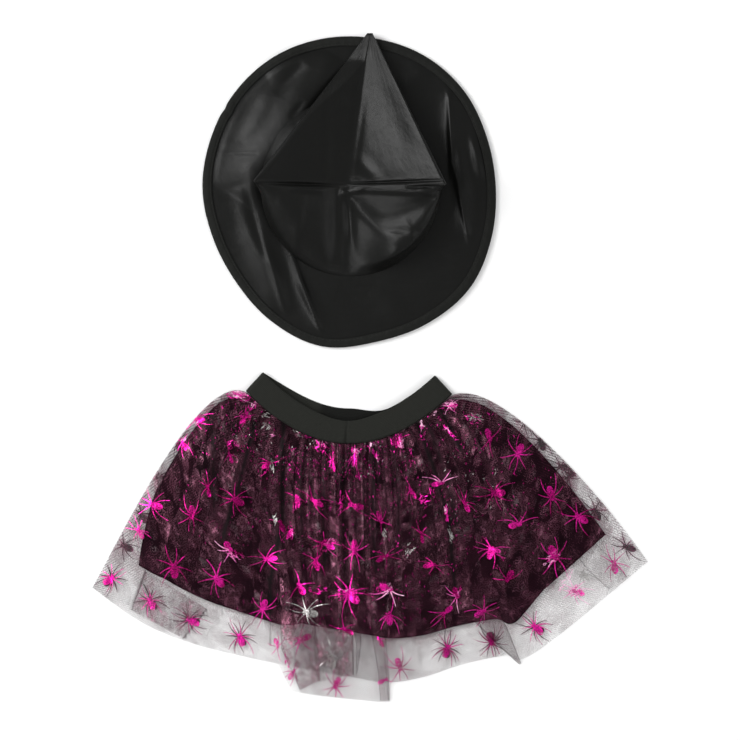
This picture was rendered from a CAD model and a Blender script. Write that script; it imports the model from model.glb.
# A child's witch costume laid flat: a pointed cloth hat and a net skirt with foil spiders.
# Places are in millimetres, as laid out on the table, and become metres when a mesh is made.

import math
import random

import bmesh
import bpy
import numpy as np
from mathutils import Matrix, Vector
from mathutils.bvhtree import BVHTree


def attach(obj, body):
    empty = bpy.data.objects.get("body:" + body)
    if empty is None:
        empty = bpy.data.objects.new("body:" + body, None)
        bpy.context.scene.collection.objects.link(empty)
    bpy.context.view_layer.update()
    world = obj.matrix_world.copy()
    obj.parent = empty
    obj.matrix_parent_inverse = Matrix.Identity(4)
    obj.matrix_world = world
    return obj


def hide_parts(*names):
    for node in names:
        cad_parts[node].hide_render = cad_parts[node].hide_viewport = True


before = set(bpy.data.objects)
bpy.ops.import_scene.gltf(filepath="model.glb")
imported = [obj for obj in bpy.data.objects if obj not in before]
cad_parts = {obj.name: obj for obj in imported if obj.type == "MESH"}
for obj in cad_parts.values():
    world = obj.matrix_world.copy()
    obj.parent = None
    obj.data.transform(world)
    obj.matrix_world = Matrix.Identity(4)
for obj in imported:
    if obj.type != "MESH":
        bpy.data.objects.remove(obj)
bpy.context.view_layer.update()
print("costume: frame loaded")

layout = {"mm": 0.001, "shiftY": -1.37, "hatX": -19.4, "hatY": 176.5, "seamGap": 0.4}


# small sums

def clamp01(value):
    return max(0.0, min(1.0, value))


def smoothStep(low, high, value):
    share = clamp01((value - low) / (high - low))
    return share * share * (3.0 - 2.0 * share)


def mix(a, b, share):
    return a + (b - a) * share


def bell(distance, width):
    return math.exp(-(distance / width) ** 2)


def catmull(before, start, end, after, share):
    return 0.5 * (
        2.0 * start
        + (end - before) * share
        + (2.0 * before - 5.0 * start + 4.0 * end - after) * share ** 2
        + (3.0 * start - before - 3.0 * end + after) * share ** 3
    )


def readTable(rows, key, column, place):
    k = max(n for n, row in enumerate(rows[:-1]) if row[key] <= place)
    share = (place - rows[k][key]) / (rows[k + 1][key] - rows[k][key])
    return mix(rows[k][column], rows[k + 1][column], share)


def foldHeight(x, y, fold):
    # one hand-placed ridge or trough: it fades at its ends, and "lean" makes its right side steeper
    alongX = fold["x1"] - fold["x0"]
    alongY = fold["y1"] - fold["y0"]
    length = math.hypot(alongX, alongY)
    along = ((x - fold["x0"]) * alongX + (y - fold["y0"]) * alongY) / length ** 2
    if not 0.0 < along < 1.0:
        return 0.0
    across = ((x - fold["x0"]) * alongY - (y - fold["y0"]) * alongX) / length
    wide = fold["wide"] * mix(1.0, fold.get("taper", 1.0), along)
    if across * fold.get("side", 1.0) > 0.0:
        wide *= fold.get("lean", 1.0)
    return fold["high"] * math.sin(math.pi * along) ** 0.7 * bell(across, wide)


def waver(x, y, size, seed=0.0):
    # a slow uneven swell between -1 and 1
    a = math.sin(x / size + seed) * math.cos(y / size * 1.3 - seed * 2.0)
    b = math.sin((x + y) / size * 0.7 + seed * 3.1) * math.cos((x - y) / size * 0.9 + seed)
    return 0.5 * (a + b)


# meshes

def metres(point):
    mm = layout["mm"]
    return (point[0] * mm, (point[1] + layout["shiftY"]) * mm, point[2] * mm)


def makePiece(name, points, faces, material, uvs=None, marks=None, closed=False):
    mesh = bpy.data.meshes.new(name)
    mesh.from_pydata([metres(p) for p in points], [], faces)
    if uvs is not None:
        layer = mesh.uv_layers.new(name="cloth")
        layer.data.foreach_set("uv", np.array(uvs, dtype=np.float32).ravel())
    for key, values in (marks or {}).items():
        attribute = mesh.attributes.new(key, "FLOAT", "POINT")
        attribute.data.foreach_set("value", np.array(values, dtype=np.float32))
    if closed:
        bm = bmesh.new()
        bm.from_mesh(mesh)
        bmesh.ops.recalc_face_normals(bm, faces=bm.faces)
        bm.to_mesh(mesh)
        bm.free()
    mesh.materials.append(material)
    mesh.shade_smooth()
    piece = bpy.data.objects.new(name, mesh)
    bpy.context.scene.collection.objects.link(piece)
    return piece


def gridFaces(rowCount, count, uvAt, closeAcross, closeAlong, first=0):
    faces, uvs = [], []
    for r in range(rowCount if closeAlong else rowCount - 1):
        for c in range(count if closeAcross else count - 1):
            corners = ((r, c), (r + 1, c), (r + 1, c + 1), (r, c + 1))
            faces.append([first + (a % rowCount) * count + b % count for a, b in corners])
            uvs.extend(uvAt(a, b) for a, b in corners)
    return faces, uvs


def gridPiece(name, rows, material, uvAt, closeAcross=False, closeAlong=False, marks=None, closed=False):
    faces, uvs = gridFaces(len(rows), len(rows[0]), uvAt, closeAcross, closeAlong)
    points = [p for row in rows for p in row]
    return makePiece(name, points, faces, material, uvs, marks, closed)


def dress(piece, slot, *nodes):
    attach(piece, "root")
    if nodes:
        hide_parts(*nodes)
    return piece


def topOf(*pieces):
    # finds the highest cloth under a place on the table
    points, faces = [], []
    for piece in pieces:
        first = len(points)
        points += [v.co.copy() for v in piece.data.vertices]
        faces += [[first + i for i in f.vertices] for f in piece.data.polygons]
    return BVHTree.FromPolygons(points, faces)


def dropOn(tree, x, y, lift, missing=None):
    mm = layout["mm"]
    start = Vector((x * mm, (y + layout["shiftY"]) * mm, 1.0))
    hit = tree.ray_cast(start, Vector((0.0, 0.0, -1.0)))
    if hit[0] is None:
        return missing
    return (x, y, hit[0].z / mm + lift)


# stage: a pale table, a big soft lamp at the upper left and a weak one at the right

stage = {
    "framePixels": 740,
    "mmPerPixel": 0.97,
    "middleY": -2.34,
    "lens": 300.0,
    "sensor": 36.0,
    "viewHeight": 10.0,
    "tableSize": 6.0,
    "tableColour": (0.93, 0.93, 0.93),
    "skyColour": (1.0, 1.0, 1.0),
    "skyStrength": 0.70,
    "keyPower": 44.0,
    "keySize": 1.2,
    "keyPlace": (-1.80, 0.75, 1.45),
    "fillPower": 16.0,
    "fillSize": 1.6,
    "fillPlace": (1.9, -0.9, 1.7),
    "sheenPower": 22.0,
    "sheenSize": 0.7,
    "sheenPlace": (-1.20, 0.62, 1.85),
    "lowSheenPower": 20.0,
    "lowSheenPlace": (-1.25, -0.95, 1.60),
}


def addLamp(name, place, size, power, onlySheen=False):
    lamp = bpy.data.lights.new(name, "AREA")
    lamp.energy = power
    lamp.size = size
    obj = bpy.data.objects.new(name, lamp)
    bpy.context.scene.collection.objects.link(obj)
    obj.location = place
    obj.rotation_euler = (-Vector(place)).to_track_quat("-Z", "Y").to_euler()
    obj.visible_diffuse = not onlySheen


def makeStage():
    wide = stage["framePixels"] * stage["mmPerPixel"] * layout["mm"]
    camera = bpy.data.cameras.new("camera")
    camera.lens = stage["lens"]
    camera.sensor_width = stage["sensor"]
    camera.dof.use_dof = False
    camera.clip_end = 50.0
    cameraObject = bpy.data.objects.new("camera", camera)
    bpy.context.scene.collection.objects.link(cameraObject)
    distance = wide * stage["lens"] / stage["sensor"]
    cameraObject.location = (0.0, stage["middleY"] * layout["mm"], distance + stage["viewHeight"] * layout["mm"])
    bpy.context.scene.camera = cameraObject

    world = bpy.data.worlds.new("soft sky")
    world.use_nodes = True
    sky = world.node_tree.nodes["Background"]
    sky.inputs["Color"].default_value = (*stage["skyColour"], 1.0)
    sky.inputs["Strength"].default_value = stage["skyStrength"]
    bpy.context.scene.world = world
    bpy.context.scene.view_settings.view_transform = "Standard"
    addLamp("keyLamp", stage["keyPlace"], stage["keySize"], stage["keyPower"])
    addLamp("fillLamp", stage["fillPlace"], stage["fillSize"], stage["fillPower"])
    addLamp("sheenLamp", stage["sheenPlace"], stage["sheenSize"], stage["sheenPower"], onlySheen=True)
    addLamp("lowSheenLamp", stage["lowSheenPlace"], stage["sheenSize"], stage["lowSheenPower"], onlySheen=True)

    half = stage["tableSize"] / 2.0
    mesh = bpy.data.meshes.new("table")
    mesh.from_pydata([(-half, -half, 0), (half, -half, 0), (half, half, 0), (-half, half, 0)], [], [(0, 1, 2, 3)])
    table = bpy.data.objects.new("table", mesh)
    bpy.context.scene.collection.objects.link(table)
    table.location.z = -0.0004
    paint, tree, shader = newMaterial("pale table", stage["tableColour"], 0.9, specular=0.0)
    mesh.materials.append(paint)


# materials

def newMaterial(name, colour, roughness, metallic=0.0, specular=0.5):
    made = bpy.data.materials.new(name)
    made.use_nodes = True
    shader = made.node_tree.nodes["Principled BSDF"]
    shader.inputs["Base Color"].default_value = (*colour, 1.0)
    shader.inputs["Roughness"].default_value = roughness
    shader.inputs["Metallic"].default_value = metallic
    shader.inputs["Specular IOR Level"].default_value = specular
    return made, made.node_tree, shader


def addNode(tree, kind, inputs=None, **settings):
    node = tree.nodes.new(kind)
    for key, value in settings.items():
        setattr(node, key, value)
    for key, value in (inputs or {}).items():
        socket = node.inputs[key]
        if isinstance(value, bpy.types.NodeSocket):
            tree.links.new(value, socket)
        else:
            socket.default_value = value
    return node


def sumNode(tree, operation, a, b=0.0, c=0.0):
    return addNode(tree, "ShaderNodeMath", {0: a, 1: b, 2: c}, operation=operation).outputs[0]


def rangeNode(tree, value, low, high, toLow=0.0, toHigh=1.0):
    inputs = {"Value": value, "From Min": low, "From Max": high, "To Min": toLow, "To Max": toHigh}
    return addNode(tree, "ShaderNodeMapRange", inputs).outputs["Result"]


def noiseNode(tree, place, scale, detail=3.0, roughness=0.5):
    inputs = {"Vector": place, "Scale": scale, "Detail": detail, "Roughness": roughness}
    return addNode(tree, "ShaderNodeTexNoise", inputs).outputs["Fac"]


def mixColour(tree, share, first, second):
    ends = [end if isinstance(end, bpy.types.NodeSocket) else (*end, 1.0) for end in (first, second)]
    return addNode(tree, "ShaderNodeMix", {0: share, 6: ends[0], 7: ends[1]}, data_type="RGBA").outputs[2]


def addBump(tree, shader, height, strength, distance):
    inputs = {"Height": height, "Strength": strength, "Distance": distance}
    bump = addNode(tree, "ShaderNodeBump", inputs)
    tree.links.new(bump.outputs["Normal"], shader.inputs["Normal"])


def stretched(tree, place, scale, turn=0.0):
    inputs = {"Vector": place, "Scale": scale, "Rotation": (0.0, 0.0, math.radians(turn))}
    return addNode(tree, "ShaderNodeMapping", inputs).outputs["Vector"]


def clothPlace(tree):
    return addNode(tree, "ShaderNodeTexCoord").outputs["UV"]


satin = {
    "dark": (0.0040, 0.0042, 0.0038),
    "light": (0.0062, 0.0063, 0.0058),
    "roughLow": 0.29,
    "roughHigh": 0.34,
    "specular": 0.11,
    "sheen": 0.015,
    "threadScale": 900.0,
    "slubScale": 60.0,
}


def satinCloth():
    made, tree, shader = newMaterial("black satin", satin["dark"], satin["roughLow"], specular=satin["specular"])
    shader.inputs["Sheen Weight"].default_value = satin["sheen"]
    shader.inputs["Sheen Roughness"].default_value = 0.35
    place = clothPlace(tree)
    patch = noiseNode(tree, place, 14.0, 3.0)
    tree.links.new(mixColour(tree, patch, satin["dark"], satin["light"]), shader.inputs["Base Color"])
    slub = noiseNode(tree, stretched(tree, place, (0.25, 1.0, 1.0)), satin["slubScale"] * 4.0, 2.0)
    rough = rangeNode(tree, slub, 0.3, 0.7, satin["roughLow"], satin["roughHigh"])
    tree.links.new(rough, shader.inputs["Roughness"])
    crumple = noiseNode(tree, place, satin["slubScale"], 4.0, 0.55)
    thread = addNode(
        tree, "ShaderNodeTexWave", {"Vector": stretched(tree, place, (1.0, 1.0, 1.0), 63.0), "Scale": satin["threadScale"]},
        wave_type="BANDS", bands_direction="X",
    ).outputs["Fac"]
    addBump(tree, shader, sumNode(tree, "MULTIPLY_ADD", thread, 0.04, crumple), 0.30, 0.0012)
    return made


tape = {"dark": (0.0042, 0.0045, 0.0038), "light": (0.0094, 0.0099, 0.0086), "roughness": 0.6, "ribScale": 420.0}


def bindingTape():
    made, tree, shader = newMaterial("black binding tape", tape["dark"], tape["roughness"], specular=0.08)
    shader.inputs["Sheen Weight"].default_value = 0.04
    place = clothPlace(tree)
    rib = addNode(
        tree, "ShaderNodeTexWave", {"Vector": place, "Scale": tape["ribScale"], "Distortion": 0.6},
        wave_type="BANDS", bands_direction="X",
    ).outputs["Fac"]
    worn = noiseNode(tree, place, 90.0, 3.0)
    shade = sumNode(tree, "MULTIPLY", worn, rangeNode(tree, rib, 0.0, 1.0, 0.6, 1.3))
    tree.links.new(mixColour(tree, shade, tape["dark"], tape["light"]), shader.inputs["Base Color"])
    addBump(tree, shader, sumNode(tree, "MULTIPLY_ADD", rib, 0.4, worn), 0.4, 0.0005)
    return made


elastic = {
    "dark": (0.0086, 0.0093, 0.0074),
    "light": (0.0168, 0.0175, 0.0144),
    "inside": 0.4,
    "roughness": 0.66,
    "ribs": 17,
}


def elasticWebbing():
    # lengthwise ribs, crossed by the fine pull of the rubber
    made, tree, shader = newMaterial("black elastic", elastic["dark"], elastic["roughness"], specular=0.08)
    shader.inputs["Sheen Weight"].default_value = 0.05
    place = clothPlace(tree)
    parts = addNode(tree, "ShaderNodeSeparateXYZ", {"Vector": place})
    ribTurns = elastic["ribs"] / 0.025 * math.tau
    rib = sumNode(tree, "SINE", sumNode(tree, "MULTIPLY", parts.outputs["Y"], ribTurns))
    pull = sumNode(tree, "SINE", sumNode(tree, "MULTIPLY", parts.outputs["X"], math.tau / 0.0011))
    fuzz = noiseNode(tree, place, 260.0, 3.0)
    weave = sumNode(tree, "MULTIPLY_ADD", rib, 0.5, sumNode(tree, "MULTIPLY", pull, 0.35))
    shade = rangeNode(tree, sumNode(tree, "ADD", weave, fuzz), -0.6, 1.5)
    outside = addNode(tree, "ShaderNodeAttribute", attribute_name="outside").outputs["Fac"]
    inner = tuple(elastic["inside"] * part for part in elastic["dark"])
    colour = mixColour(tree, outside, inner, mixColour(tree, shade, elastic["dark"], elastic["light"]))
    tree.links.new(colour, shader.inputs["Base Color"])
    addBump(tree, shader, sumNode(tree, "ADD", weave, fuzz), 0.5, 0.00035)
    return made


def liningCloth():
    made, tree, shader = newMaterial("black lining cloth", (0.007, 0.0028, 0.0045), 0.65, specular=0.015)
    place = clothPlace(tree)
    patch = noiseNode(tree, place, 22.0, 4.0)
    tree.links.new(mixColour(tree, patch, (0.0048, 0.0010, 0.0025), (0.0100, 0.0030, 0.0056)), shader.inputs["Base Color"])
    weave = addNode(tree, "ShaderNodeTexWave", {"Vector": place, "Scale": 700.0}, bands_direction="DIAGONAL")
    addBump(tree, shader, sumNode(tree, "MULTIPLY_ADD", weave.outputs["Fac"], 0.1, patch), 0.4, 0.0015)
    return made


def threadMaterial():
    made, tree, shader = newMaterial("black thread", (0.010, 0.010, 0.009), 0.6, specular=0.2)
    twist = addNode(tree, "ShaderNodeTexWave", {"Scale": 900.0}, bands_direction="DIAGONAL").outputs["Fac"]
    tree.links.new(mixColour(tree, twist, (0.005, 0.005, 0.004), (0.016, 0.016, 0.014)), shader.inputs["Base Color"])
    return made


net = {
    "cell": 0.0017,
    "threadHalf": 0.0205,
    "threadColour": (0.0115, 0.0038, 0.0066),
    "tintColour": (0.080, 0.020, 0.038),
    "foldColour": (0.0042, 0.0026, 0.0031),
    "webDark": (0.16, 0.062, 0.088),
    "webPink": (0.60, 0.23, 0.35),
    "webSilver": (0.42, 0.32, 0.35),
    "webFilm": 0.52,
    "webs": (
        {"cell": 0.030, "reach": 0.0155, "gap": 0.0026, "line": 0.00034, "spokes": 11, "kept": 0.12, "turn": 0.0},
        {"cell": 0.019, "reach": 0.0090, "gap": 0.0020, "line": 0.00028, "spokes": 9, "kept": 0.35, "turn": 37.0},
        {"cell": 0.012, "reach": 0.0060, "gap": 0.0016, "line": 0.00024, "spokes": 7, "kept": 0.50, "turn": 71.0},
    ),
}


def webLines(tree, place, web):
    # scattered spider webs: rings that sag between their spokes
    turned = stretched(tree, place, (1.0, 1.0, 1.0), web["turn"])
    cell = addNode(tree, "ShaderNodeTexVoronoi", {"Vector": turned, "Scale": 1.0 / web["cell"]}, voronoi_dimensions="2D")
    offset = addNode(
        tree, "ShaderNodeVectorMath", {0: turned, 1: cell.outputs["Position"]}, operation="SUBTRACT"
    ).outputs[0]
    parts = addNode(tree, "ShaderNodeSeparateXYZ", {"Vector": offset})
    away = addNode(tree, "ShaderNodeVectorMath", {0: offset}, operation="LENGTH").outputs["Value"]
    angle = sumNode(tree, "ARCTAN2", parts.outputs["Y"], parts.outputs["X"])
    turns = sumNode(tree, "MULTIPLY", angle, web["spokes"] / math.tau)
    toSpoke = sumNode(tree, "PINGPONG", turns, 0.5)
    spoke = sumNode(tree, "MULTIPLY", sumNode(tree, "MULTIPLY", toSpoke, away), math.tau / web["spokes"])
    sagged = sumNode(tree, "MULTIPLY", away, rangeNode(tree, toSpoke, 0.0, 0.5, 0.92, 1.12))
    ring = sumNode(tree, "PINGPONG", sagged, web["gap"] / 2.0)
    nearest = sumNode(tree, "MINIMUM", spoke, ring)
    line = rangeNode(tree, nearest, web["line"] * 0.6, web["line"] * 1.4, 1.0, 0.0)
    inside = rangeNode(tree, away, web["reach"] * 0.86, web["reach"], 1.0, 0.0)
    tone = addNode(tree, "ShaderNodeSeparateXYZ", {"Vector": cell.outputs["Color"]}).outputs["X"]
    shown = sumNode(tree, "GREATER_THAN", tone, web["kept"])
    return sumNode(tree, "MULTIPLY", sumNode(tree, "MULTIPLY", line, inside), shown)


def spiderNet():
    # a fine diamond net whose threads crowd together where "bunch" is high and close up where "fold" is,
    # printed with thin foil webs
    made, tree, shader = newMaterial("black net with webs", net["threadColour"], 0.42, specular=0.03)
    place = clothPlace(tree)
    turned = stretched(tree, place, (1.0 / net["cell"],) * 3, 45.0)
    parts = addNode(tree, "ShaderNodeSeparateXYZ", {"Vector": turned})
    near = [sumNode(tree, "PINGPONG", parts.outputs[axis], 0.5) for axis in ("X", "Y")]
    toThread = sumNode(tree, "MINIMUM", *near)
    crowd = addNode(tree, "ShaderNodeAttribute", attribute_name="bunch").outputs["Fac"]
    fold = addNode(tree, "ShaderNodeAttribute", attribute_name="fold").outputs["Fac"]
    uneven = rangeNode(tree, noiseNode(tree, place, 30.0, 2.0), 0.3, 0.7, 0.9, 1.12)
    half = sumNode(tree, "MULTIPLY", sumNode(tree, "MULTIPLY", crowd, net["threadHalf"]), uneven)
    low = sumNode(tree, "MULTIPLY", half, 0.75)
    high = sumNode(tree, "MULTIPLY", half, 1.25)
    threads = rangeNode(tree, toThread, low, high, 1.0, 0.0)

    swirl = addNode(tree, "ShaderNodeTexNoise", {"Vector": place, "Scale": 75.0, "Detail": 1.0}).outputs["Color"]
    shifted = addNode(
        tree, "ShaderNodeVectorMath", {0: swirl, 1: (0.0016, 0.0016, 0.0), 2: place}, operation="MULTIPLY_ADD"
    ).outputs[0]
    lines = [webLines(tree, shifted, web) for web in net["webs"]]
    printed = sumNode(tree, "MAXIMUM", sumNode(tree, "MAXIMUM", lines[0], lines[1]), lines[2])
    worn = rangeNode(tree, noiseNode(tree, place, 34.0, 3.0), 0.35, 0.65, 0.26, net["webFilm"])
    worn = sumNode(tree, "MULTIPLY", worn, addNode(tree, "ShaderNodeAttribute", attribute_name="shine").outputs["Fac"])
    broad = noiseNode(tree, stretched(tree, place, (2.0, 0.7, 1.0)), 13.0, 2.0)
    worn = sumNode(tree, "MULTIPLY", worn, rangeNode(tree, broad, 0.36, 0.62, 0.75, 1.25))
    unfolded = sumNode(tree, "SUBTRACT", 1.0, fold)
    foil = sumNode(tree, "MULTIPLY", sumNode(tree, "MULTIPLY", printed, worn), unfolded)
    glint = noiseNode(tree, place, 150.0, 3.0)
    pink = mixColour(tree, rangeNode(tree, glint, 0.50, 0.66), net["webDark"], net["webPink"])
    metal = mixColour(tree, rangeNode(tree, noiseNode(tree, place, 62.0, 3.0), 0.60, 0.72), pink, net["webSilver"])
    tint = rangeNode(tree, noiseNode(tree, place, 48.0, 3.0), 0.35, 0.68)
    plain = mixColour(tree, fold, net["threadColour"], net["foldColour"])
    thread = mixColour(tree, sumNode(tree, "MULTIPLY", tint, unfolded), plain, net["tintColour"])
    tree.links.new(mixColour(tree, foil, thread, metal), shader.inputs["Base Color"])
    tree.links.new(sumNode(tree, "MULTIPLY", foil, 0.7), shader.inputs["Metallic"])
    alpha = sumNode(tree, "MAXIMUM", sumNode(tree, "MAXIMUM", threads, foil), fold)
    tree.links.new(alpha, shader.inputs["Alpha"])
    return made


def foilMaterial(name, dark, bright, roughness, metallic=1.0):
    # crinkled metal film: it flashes where it creases
    made, tree, shader = newMaterial(name, bright, roughness, metallic)
    place = addNode(tree, "ShaderNodeTexCoord").outputs["Object"]
    crinkle = noiseNode(tree, place, 240.0, 3.0)
    shade = rangeNode(tree, noiseNode(tree, place, 45.0, 2.0), 0.35, 0.65)
    tree.links.new(mixColour(tree, shade, dark, bright), shader.inputs["Base Color"])
    worn = rangeNode(tree, noiseNode(tree, place, 800.0, 2.0), 0.38, 0.58, 0.35, 1.0)
    tree.links.new(worn, shader.inputs["Alpha"])
    addBump(tree, shader, crinkle, 0.5, 0.0008)
    return made


cloth = {}


def makeMaterials():
    cloth["satin"] = satinCloth()
    cloth["tape"] = bindingTape()
    cloth["elastic"] = elasticWebbing()
    cloth["lining"] = liningCloth()
    cloth["thread"] = threadMaterial()
    cloth["net"] = spiderNet()
    cloth["pink"] = foilMaterial("pink foil", (0.26, 0.003, 0.088), (0.80, 0.018, 0.36), 0.33)
    cloth["hot"] = foilMaterial("bright pink foil", (0.72, 0.05, 0.38), (1.0, 0.55, 0.78), 0.40, 0.35)
    cloth["deep"] = foilMaterial("shaded pink foil", (0.18, 0.002, 0.062), (0.40, 0.008, 0.16), 0.40)
    cloth["silver"] = foilMaterial("silver foil", (0.15, 0.145, 0.14), (0.55, 0.53, 0.52), 0.35)
    cloth["back"] = foilMaterial("back of the foil", (0.012, 0.011, 0.011), (0.035, 0.030, 0.032), 0.55, 0.2)
    print("costume: materials ready")


# stitches: short rounded threads that lie along a line of places

def stitchPiece(name, places, thick, long, material):
    # places is a list of (middle, direction) pairs
    points, faces = [], []
    rings, sides = 5, 6
    for middle, along in places:
        along = along.normalized()
        across = along.cross(Vector((0, 0, 1))).normalized()
        first = len(points)
        for r in range(rings):
            share = r / (rings - 1)
            swell = math.sin(math.pi * mix(0.12, 0.88, share)) ** 0.5
            centre = middle + along * (share - 0.5) * long
            for s in range(sides):
                turn = math.tau * s / sides
                rim = across * math.cos(turn) + Vector((0, 0, 1)) * math.sin(turn)
                points.append(centre + rim * thick / 2.0 * swell)
        for r in range(rings - 1):
            for s in range(sides):
                a, b = first + r * sides + s, first + r * sides + (s + 1) % sides
                faces.append((a, b, b + sides, a + sides))
        faces.append(tuple(first + s for s in range(sides)))
        faces.append(tuple(first + (rings - 1) * sides + s for s in range(sides)))
    return makePiece(name, points, faces, material, closed=True)


# hat brim, with its seam and soft ridges

brim = {
    "openingRadius": 86.5,
    "crownCloth": 1.4,
    "cloth": 1.4,
    "underside": 1.4,
    "outlineStep": 20.0,
    "outline": (
        141.6, 141.5, 145.0, 146.7, 146.6, 146.8, 146.8, 145.1, 143.4,
        143.4, 142.0, 144.1, 151.1, 156.9, 152.3, 152.2, 152.1, 146.1,
    ),
    "fadeStart": 90.0,
    "fadeEnd": 106.0,
    "stations": 360,
    "rings": 44,
    "ridges": (
        {"x0": -104, "y0": 2, "x1": -66, "y1": -122, "wide": 13, "high": 4.5},
        {"x0": -62, "y0": -66, "x1": -29, "y1": -138, "wide": 7, "high": 2.6},
        {"x0": 96, "y0": 94, "x1": 115, "y1": -46, "wide": 9, "high": 4.0},
        {"x0": 118, "y0": 52, "x1": 130, "y1": 4, "wide": 7, "high": 2.2},
        {"x0": -84, "y0": 112, "x1": -46, "y1": 138, "wide": 10, "high": 2.4},
    ),
    "creases": (
        {"x0": -102, "y0": 24, "x1": -62, "y1": -124, "wide": 9, "high": 2.4, "lean": 0.5},
        {"x0": -88, "y0": -36, "x1": -60, "y1": -128, "wide": 5, "high": 0.8, "lean": 0.6},
        {"x0": -62, "y0": -50, "x1": -26, "y1": -144, "wide": 7.5, "high": 3.4, "taper": 0.30, "side": -1.0, "lean": 0.3},
        {"x0": 95, "y0": 106, "x1": 99, "y1": 6, "wide": 3.0, "high": 2.2, "lean": 0.5},
        {"x0": 99, "y0": 26, "x1": 116, "y1": -56, "wide": 3.4, "high": 2.2, "lean": 0.5},
        {"x0": 118, "y0": 60, "x1": 128, "y1": 8, "wide": 5.0, "high": 1.4},
        {"x0": -108, "y0": -14, "x1": -14, "y1": 127, "wide": 30, "high": 10.0, "lean": 0.5},
        {"x0": -104, "y0": 44, "x1": -76, "y1": 92, "wide": 7, "high": 0.9},
        {"x0": -72, "y0": 90, "x1": -44, "y1": 120, "wide": 6, "high": -1.6},
        {"x0": -58, "y0": 66, "x1": -44, "y1": 84, "wide": 3, "high": -1.2},
        {"x0": -30, "y0": 100, "x1": -12, "y1": 142, "wide": 9, "high": 0.9},
        {"x0": 50, "y0": 96, "x1": 78, "y1": 118, "wide": 9, "high": 0.8},
        {"x0": 20, "y0": -100, "x1": 60, "y1": -128, "wide": 12, "high": 0.6},
    ),
    "seamFrom": -136.0,
    "seamTo": -88.0,
    "seamY": 33.0,
}


def brimRadius(angle):
    count = len(brim["outline"])
    place = math.degrees(angle) / brim["outlineStep"] % count
    k = int(place)
    near = [brim["outline"][(k + n) % count] for n in (-1, 0, 1, 2)]
    return catmull(*near, place - k)


def brimLift(x, y):
    fade = smoothStep(brim["fadeStart"] + 2.0, brim["fadeEnd"] + 6.0, math.hypot(x, y))
    return fade * sum(foldHeight(x, y, ridge) for ridge in brim["ridges"])


def brimCreases(x, y, radius):
    away = math.hypot(x, y)
    fade = smoothStep(brim["openingRadius"] - 7.0, brim["openingRadius"] - 1.0, away)
    fade *= 1.0 - smoothStep(radius - 16.0, radius - 8.0, away)
    total = sum(foldHeight(x, y, crease) for crease in brim["creases"])
    total += 0.22 * waver(x, y, 17.0, 0.7) + 0.12 * waver(x, y, 7.5, 2.1)
    inSeam = smoothStep(brim["seamFrom"], brim["seamFrom"] + 4.0, x) * (1.0 - smoothStep(brim["seamTo"] - 4, brim["seamTo"], x))
    return fade * total - 0.5 * inSeam * bell(y - brim["seamY"], 1.7)


def hatPoint(angle, radius, height, extra=0.0):
    x = radius * math.cos(angle)
    y = radius * math.sin(angle)
    return Vector((layout["hatX"] + x, layout["hatY"] + y, height + brimLift(x, y) + extra))


def makeBrim():
    inner = brim["openingRadius"] - brim["crownCloth"] - 1.0
    top = brim["underside"] + brim["cloth"]
    rows = []
    for k in range(brim["stations"]):
        angle = math.tau * k / brim["stations"]
        edge = brimRadius(angle)
        outer = edge - 1.2 - layout["seamGap"]
        radii = [mix(inner, outer, n / brim["rings"]) for n in range(brim["rings"] + 1)]
        under = [hatPoint(angle, r, brim["underside"]) for r in radii]
        over = []
        for r in reversed(radii):
            extra = brimCreases(r * math.cos(angle), r * math.sin(angle), edge)
            over.append(hatPoint(angle, r, top, extra))
        rows.append(under + over)
    count = len(rows[0])

    def uvAt(r, c):
        p = rows[r % len(rows)][c % count]
        return (p.x * layout["mm"], p.y * layout["mm"])

    piece = gridPiece("hatBrim", rows, cloth["satin"], uvAt, True, True, closed=True)
    dress(piece, "satin", "hat_brim")
    return piece


# binding: a tape folded over the brim's edge and sewn near its inner edge

binding = {
    "width": 9.0,
    "height": 4.2,
    "cloth": 1.0,
    "edge": 1.2,
    "stations": 540,
    "round": 1.5,
    "joinAngle": 148.0,
    "joinStep": 0.5,
    "stitchInset": 1.7,
    "stitchCount": 250,
    "stitchLong": 2.3,
    "stitchThick": 0.38,
}


def bindingPucker(angle):
    return 0.16 * math.sin(angle * 118.0) + 0.10 * math.sin(angle * 67.0 + 1.0)


def bindingEdge(angle):
    # the join of the tape's ends makes a small kink in the outline
    turn = (math.degrees(angle) - binding["joinAngle"] + 180.0) % 360.0 - 180.0
    return brimRadius(angle) - 0.9 * bell(turn, 1.6)


def bindingSection(angle):
    outer = bindingEdge(angle)
    inner = outer - binding["width"] + 0.5 * math.sin(angle * 3.0 + 0.6)
    wall = outer - binding["edge"]
    high = binding["height"]
    bend = binding["round"]
    turn = (math.degrees(angle) - binding["joinAngle"] + 180.0) % 360.0 - 180.0
    raised = binding["joinStep"] * smoothStep(-4.0, -3.4, turn) * (1.0 - smoothStep(3.4, 4.0, turn))
    section = [(inner, 0.0), (mix(inner, outer, 0.5), 0.0), (outer - bend, 0.0)]
    for n in range(1, 6):
        swing = math.pi * n / 6.0
        section.append((outer - bend + bend * math.sin(swing), high / 2.0 - high / 2.0 * math.cos(swing)))
    for n in range(9):
        share = n / 8.0
        pucker = bindingPucker(angle) * math.sin(math.pi * share) + 0.3 * math.sin(math.pi * share)
        groove = 0.32 * bell((share - 1.0) * (binding["width"] - bend) + binding["stitchInset"], 0.45)
        section.append((mix(outer - bend, inner, share), high + pucker - groove + raised))
    section += [
        (inner, high - binding["cloth"]), (wall, high - binding["cloth"]),
        (wall, binding["cloth"]), (inner, binding["cloth"]),
    ]
    return [hatPoint(angle, radius, height) for radius, height in section]


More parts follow.
